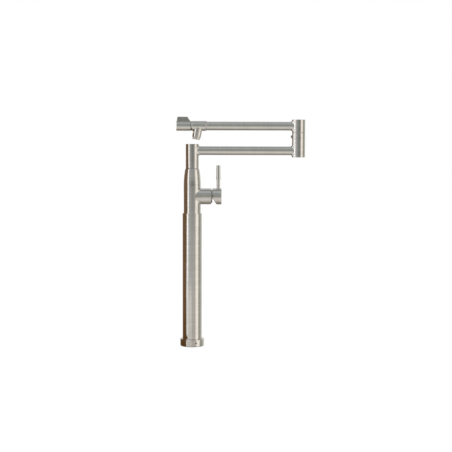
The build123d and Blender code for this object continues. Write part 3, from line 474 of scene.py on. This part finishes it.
# Steel pieces by the axis that they are turned or brushed round; a span says where a tube crosses along X
uprightSteel = ["base_ring", "pillar_tube", "handle_lever", "hub_top_cap", "elbow_bottom_plug", "elbow_top_cap",
                "aerator_housing"]
levelSteel = ["handle_hood", "spout_valve_housing", "spout_knob"]
crossedSteel = {
    "mixer_body": (21 * mm, 60 * mm),
    "lower_arm": (18 * mm, 249 * mm),
    "upper_arm": (20 * mm, 249 * mm),
}

finishes = {name: plainFinish(name, settings, plainLook) for name, settings in plainFinishes.items()}
finishes["uprightSteel"] = brushedSteel("uprightSteel", steelFinish)
finishes["levelSteel"] = brushedSteel("levelSteel", steelFinish, "x", paintedShade=seamPaintedShade)
finishes["aeratorSteel"] = brushedSteel("aeratorSteel", aeratorFinish)
for name, span in crossedSteel.items():
    finishes[name] = brushedSteel(name + "Steel", steelFinish, crossing=span)

slotFinish = {
    "screw_steel": "machinedSteel", "plain_steel": "plainSteel", "brass": "machinedBrass",
    "copper": "drawnCopper", "rubber": "blackRubber", "ceramic": "lappedCeramic",
    "cartridge_plastic": "mouldedPlastic", "ptfe": "slickPlastic",
}
nodeFinish = {
    **dict.fromkeys(uprightSteel, "uprightSteel"),
    **dict.fromkeys(levelSteel, "levelSteel"),
    **{name: name for name in crossedSteel},
    # Painted shade: the nut gets the darker machined steel, so that its rim paints the shaded line of the seam
    "cartridge_nut": "machinedSteel",  # its rim shows as the dark line between the valve and the hood
}


def dressNodes():
    for name, obj in nodes.items():
        slot = obj.data.materials[0].name.split(".")[0]
        obj.data.materials[0] = finishes[nodeFinish[name] if name in nodeFinish else slotFinish[slot]]


dressNodes()
print("materials on", len(nodes), "nodes")


# Geometry Nodes trees that add to a start mesh
def newTree(name, floats, more=()):
    tree = bpy.data.node_groups.new(name, "GeometryNodeTree")
    sockets = [("Geometry", "Geometry"), *((key, "Float") for key in floats), *more,
               ("Place", "Vector"), ("Turn", "Vector"), ("Material", "Material")]
    for key, kind in sockets:
        tree.interface.new_socket(key, in_out="INPUT", socket_type="NodeSocket" + kind)
    tree.interface.new_socket("Geometry", in_out="OUTPUT", socket_type="NodeSocketGeometry")
    return tree, addNode(tree, "NodeGroupInput").outputs


def finishTree(tree, given, made, weld=None):
    both = addNode(tree, "GeometryNodeJoinGeometry", {0: made})
    feed(tree, both.inputs[0], given["Geometry"])
    if weld:
        both = addNode(tree, "GeometryNodeMergeByDistance", {0: both.outputs[0], "Distance": weld})
    move = addNode(tree, "GeometryNodeTransform", {
        "Geometry": both.outputs[0], "Translation": given["Place"], "Rotation": given["Turn"]})
    real = addNode(tree, "GeometryNodeRealizeInstances", {0: move.outputs[0]})
    coat = addNode(tree, "GeometryNodeSetMaterial", {"Geometry": real.outputs[0], "Material": given["Material"]})
    addNode(tree, "NodeGroupOutput", {0: coat.outputs[0]})


def runTree(tree, name, values, start=None):
    # Evaluates the tree on a start mesh and returns a plain object with the result
    obj = addObject(name + "Start", start or bpy.data.meshes.new(name + "Start"))
    modifier = obj.modifiers.new("build", "NODES")
    modifier.node_group = tree
    sockets = {item.name: item.identifier for item in tree.interface.items_tree if item.in_out == "INPUT"}
    for key, value in values.items():
        modifier[sockets[key]] = value
    obj.update_tag()
    evaluated = obj.evaluated_get(bpy.context.evaluated_depsgraph_get())
    made = bpy.data.meshes.new_from_object(evaluated)
    made.name = name
    obj.modifiers.clear()
    bpy.data.objects.remove(obj)
    return addObject(name, made)


def shadeByAngle(obj, degrees):
    for polygon in obj.data.polygons:
        polygon.use_smooth = True
    obj.data.set_sharp_from_angle(angle=math.radians(degrees))


def settle(obj, body, slot, *stoodFor):
    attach(obj, body)
    if stoodFor:
        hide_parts(*stoodFor)


# Threads and flutes are waves carved round a sleeve
carving = {"flank": 2.6, "rounding": 0.25, "weld": 0.004 * mm}


def sleeveTree(settings):
    floats = ("Crest radius", "Depth", "Low", "High", "Fade", "Waves per metre", "Waves around")
    more = (("Steps around", "Int"), ("Steps along", "Int"), ("Inner", "Bool"))
    tree, given = newTree("carvedSleeve", floats, more)
    grid = addNode(tree, "GeometryNodeMeshGrid", {
        "Size X": 1.0, "Size Y": 1.0, "Vertices X": given["Steps around"], "Vertices Y": given["Steps along"]})
    position = splitAxes(tree, addNode(tree, "GeometryNodeInputPosition").outputs[0])
    around = calc(tree, "ADD", position[0], 0.5)
    along = calc(tree, "ADD", position[1], 0.5)
    angle = calc(tree, "MULTIPLY", around, 2 * math.pi)
    height = calc(tree, "MULTIPLY_ADD", along, calc(tree, "SUBTRACT", given["High"], given["Low"]), given["Low"])
    # A wave that climbs with the angle is a thread, and one that doesn't is a flute
    climb = calc(tree, "MULTIPLY", height, given["Waves per metre"])
    phase = calc(tree, "SUBTRACT", climb, calc(tree, "MULTIPLY", around, given["Waves around"]))
    flank = calc(tree, "MULTIPLY", calc(tree, "PINGPONG", phase, 0.5), settings["flank"])
    wave = calc(tree, "SMOOTH_MIN", flank, 1.0, settings["rounding"])
    edge = calc(tree, "MINIMUM", calc(tree, "SUBTRACT", height, given["Low"]),
                calc(tree, "SUBTRACT", given["High"], height))
    fade = calc(tree, "MINIMUM", calc(tree, "DIVIDE", edge, given["Fade"]), 1.0)
    cut = calc(tree, "MULTIPLY", calc(tree, "SUBTRACT", 1.0, wave), fade)
    radius = calc(tree, "SUBTRACT", given["Crest radius"], calc(tree, "MULTIPLY", cut, given["Depth"]))
    place = addNode(tree, "ShaderNodeCombineXYZ", {
        0: calc(tree, "MULTIPLY", calc(tree, "COSINE", angle), radius),
        1: calc(tree, "MULTIPLY", calc(tree, "SINE", angle), radius), 2: height})
    bend = addNode(tree, "GeometryNodeSetPosition", {
        "Geometry": grid.outputs["Mesh"], "Position": place.outputs[0]})
    flip = addNode(tree, "GeometryNodeFlipFaces", {0: bend.outputs[0], "Selection": given["Inner"]})
    finishTree(tree, given, flip.outputs[0], settings["weld"])
    return tree


carvedSleeve = sleeveTree(carving)


def carve(name, s, low, high, start=None, place=(0.0, 0.0, 0.0), turn=(0.0, 0.0, 0.0)):
    climb, around = (1 / (s["pitch"] * mm), 1.0) if "pitch" in s else (0.0, float(s["flutes"]))
    piece = runTree(carvedSleeve, name, {
        "Crest radius": s["crestRadius"] * mm, "Depth": s["depth"] * mm, "Low": low * mm, "High": high * mm,
        "Fade": s["fade"] * mm, "Waves per metre": climb, "Waves around": around,
        "Steps around": s["stepsAround"] + 1, "Steps along": s["stepsAlong"], "Inner": s["inner"],
        "Place": place, "Turn": turn, "Material": finishes[s["finish"]]}, start)
    shadeByAngle(piece, s["sharpFrom"])
    return piece


# Sizes of the carved pieces are in mm and degrees
shankThread = {
    "crestRadius": 16.5, "bore": 14.0, "chamfer": 1.2,
    "low": -58.6, "high": -2.0, "headFoot": 4.5,
    "pitch": 1.5, "depth": 0.92, "fade": 1.6, "inner": False,
    "stepsAround": 72, "stepsAlong": 380, "sharpFrom": 50, "finish": "machinedBrass",
}


def buildShank(s):
    low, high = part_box("mounting_shank")
    foot, headTop, headRadius = low.z / mm, high.z / mm, high.x / mm
    below = [(s["bore"], headTop), (s["bore"], foot), (s["crestRadius"] - s["chamfer"], foot),
             (s["crestRadius"], s["low"])]
    above = [(s["crestRadius"], s["high"]), (s["crestRadius"], s["headFoot"]),
             (headRadius, s["headFoot"]), (headRadius, headTop), (s["bore"], headTop)]
    rest = turnedMesh("shankRest", [below, above], s["stepsAround"])
    piece = carve("threadedShank", s, s["low"], s["high"], rest)
    settle(piece, "pillar", "brass", "mounting_shank")


inletThread = {
    "crestRadius": 4.06, "depth": -0.42,   # cut outwards, so that the roots end just inside the socket's bore
    "inset": 0.2, "length": 11.6, "spacing": 14.0,
    "pitch": 1.0, "fade": 1.0, "inner": True,
    "stepsAround": 48, "stepsAlong": 110, "sharpFrom": 50, "finish": "machinedBrass",
}


def buildInletThreads(s):
    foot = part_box("inlet_sockets")[0].z / mm
    for number, side in ((1, -1), (2, 1)):
        place = (0.0, side * s["spacing"] / 2 * mm, 0.0)
        piece = carve(f"inletThread{number}", s, foot + s["inset"], foot + s["length"], place=place)
        settle(piece, "pillar", "brass")


# The nozzle leaves the spout valve's axis this far before the housing's end, and leans back by its tilt
nozzle = {"beforeEnd": 20.5 * mm, "tilt": 10}
valveAxis = next(joint["pos_m"] for joint in frame["joints"] if joint["name"] == "spout_valve_turn")
nozzlePose = {
    "place": (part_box("spout_valve_housing")[1].x - nozzle["beforeEnd"], 0.0, valveAxis[2]),
    "turn": (0.0, math.radians(nozzle["tilt"]), 0.0),
}

aeratorRing = {
    "crestRadius": 9.7, "threadRadius": 9.0, "bore": 7.8, "mouth": 7.0,
    "tip": -34.5, "shoulder": -29.2, "top": -22.1,
    "lip": 0.8, "lipEdge": 0.2, "chamfer": 0.55, "shoulderEdge": 0.25,
    "flutes": 16, "depth": 0.5, "fade": 0.6, "inner": False,
    "stepsAround": 160, "stepsAlong": 12, "sharpFrom": 40, "finish": "aeratorSteel",
}


def buildAeratorRing(s):
    low, high = s["tip"] + s["chamfer"], s["shoulder"] - s["shoulderEdge"]
    lipTop = s["tip"] + s["lip"]
    run = [(s["crestRadius"], high), (s["crestRadius"] - s["shoulderEdge"], s["shoulder"]),
           (s["threadRadius"], s["shoulder"]), (s["threadRadius"], s["top"]), (s["bore"], s["top"]),
           (s["bore"], lipTop), (s["mouth"] + s["lipEdge"], lipTop), (s["mouth"], lipTop - s["lipEdge"]),
           (s["mouth"], s["tip"]), (s["crestRadius"] - s["chamfer"], s["tip"]), (s["crestRadius"], low)]
    rest = turnedMesh("aeratorRest", [run], s["stepsAround"])
    piece = carve("aeratorRing", s, low, high, rest, **nozzlePose)
    settle(piece, "spout_upper", "brushed_steel", "aerator_housing")


# A drum behind the lip whose face is a honeycomb of thin walls
aeratorScreen = {
    "radius": 7.75, "bore": 6.9, "foot": -33.7, "height": 9.0,
    "cell": 1.7, "wall": 0.22, "depth": 2.4, "setBack": 0.5, "cellsAcross": 13,
    "stepsAround": 64, "sharpFrom": 30,
}


def honeycombTree(cellsAcross):
    tree, given = newTree("honeycomb", ("Radius", "Cell", "Wall", "Depth", "Foot"))
    cell = given["Cell"]
    halfCell = calc(tree, "MULTIPLY", cell, 0.5)
    rowPitch = calc(tree, "MULTIPLY", cell, math.sin(math.pi / 3))
    grid = addNode(tree, "GeometryNodeMeshGrid", {
        "Vertices X": cellsAcross, "Vertices Y": cellsAcross,
        "Size X": calc(tree, "MULTIPLY", cell, cellsAcross - 1),
        "Size Y": calc(tree, "MULTIPLY", rowPitch, cellsAcross - 1)})
    position = splitAxes(tree, addNode(tree, "GeometryNodeInputPosition").outputs[0])
    # Every second row moves over by half a cell
    row = calc(tree, "ROUND", calc(tree, "DIVIDE", position[1], rowPitch))
    shift = calc(tree, "MULTIPLY", calc(tree, "FLOORED_MODULO", row, 2.0), halfCell)
    offset = addNode(tree, "ShaderNodeCombineXYZ", {0: shift, 2: given["Foot"]})
    staggered = addNode(tree, "GeometryNodeSetPosition", {
        "Geometry": grid.outputs["Mesh"], "Offset": offset.outputs[0]})
    # Only whole cells inside the drum stay
    squares = [calc(tree, "MULTIPLY", position[axis], position[axis]) for axis in (0, 1)]
    reach = calc(tree, "SQRT", calc(tree, "ADD", *squares))
    keep = calc(tree, "LESS_THAN", reach, calc(tree, "SUBTRACT", given["Radius"], halfCell))
    # One cell is a six-sided tube with a thin wall
    cornerRadius = calc(tree, "DIVIDE", cell, 2 * math.cos(math.pi / 6))
    outline = addNode(tree, "GeometryNodeMeshCircle", {"Vertices": 6, "Radius": cornerRadius})
    turned = addNode(tree, "GeometryNodeTransform", {
        "Geometry": outline.outputs[0], "Rotation": (0, 0, math.pi / 6)})
    path = addNode(tree, "GeometryNodeMeshToCurve", {"Mesh": turned.outputs[0]})
    section = addNode(tree, "GeometryNodeCurvePrimitiveQuadrilateral", {
        "Width": given["Wall"], "Height": given["Depth"]})
    tube = addNode(tree, "GeometryNodeCurveToMesh", {
        "Curve": path.outputs[0], "Profile Curve": section.outputs[0], "Fill Caps": False})
    flat = addNode(tree, "GeometryNodeSetShadeSmooth", {0: tube.outputs[0], "Shade Smooth": False})
    cells = addNode(tree, "GeometryNodeInstanceOnPoints", {
        "Points": staggered.outputs[0], "Selection": keep, "Instance": flat.outputs[0]})
    finishTree(tree, given, cells.outputs[0])
    return tree


def buildAeratorScreen(s):
    top = s["foot"] + s["height"]
    run = [(s["radius"], s["foot"]), (s["radius"], top), (s["bore"], top), (s["bore"], s["foot"])]
    drum = turnedMesh("screenDrum", [run], s["stepsAround"], closed=True)
    piece = runTree(honeycombTree(s["cellsAcross"]), "aeratorScreen", {
        "Radius": s["bore"] * mm, "Cell": s["cell"] * mm, "Wall": s["wall"] * mm, "Depth": s["depth"] * mm,
        "Foot": (s["foot"] + s["setBack"] + s["depth"] / 2) * mm,
        "Place": nozzlePose["place"], "Turn": nozzlePose["turn"], "Material": finishes["mouldedPlastic"]}, drum)
    shadeByAngle(piece, s["sharpFrom"])
    settle(piece, "spout_upper", "cartridge_plastic", "aerator_insert")


buildShank(shankThread)
buildInletThreads(inletThread)
buildAeratorRing(aeratorRing)
buildAeratorScreen(aeratorScreen)
print("threads, flutes and honeycomb ready")
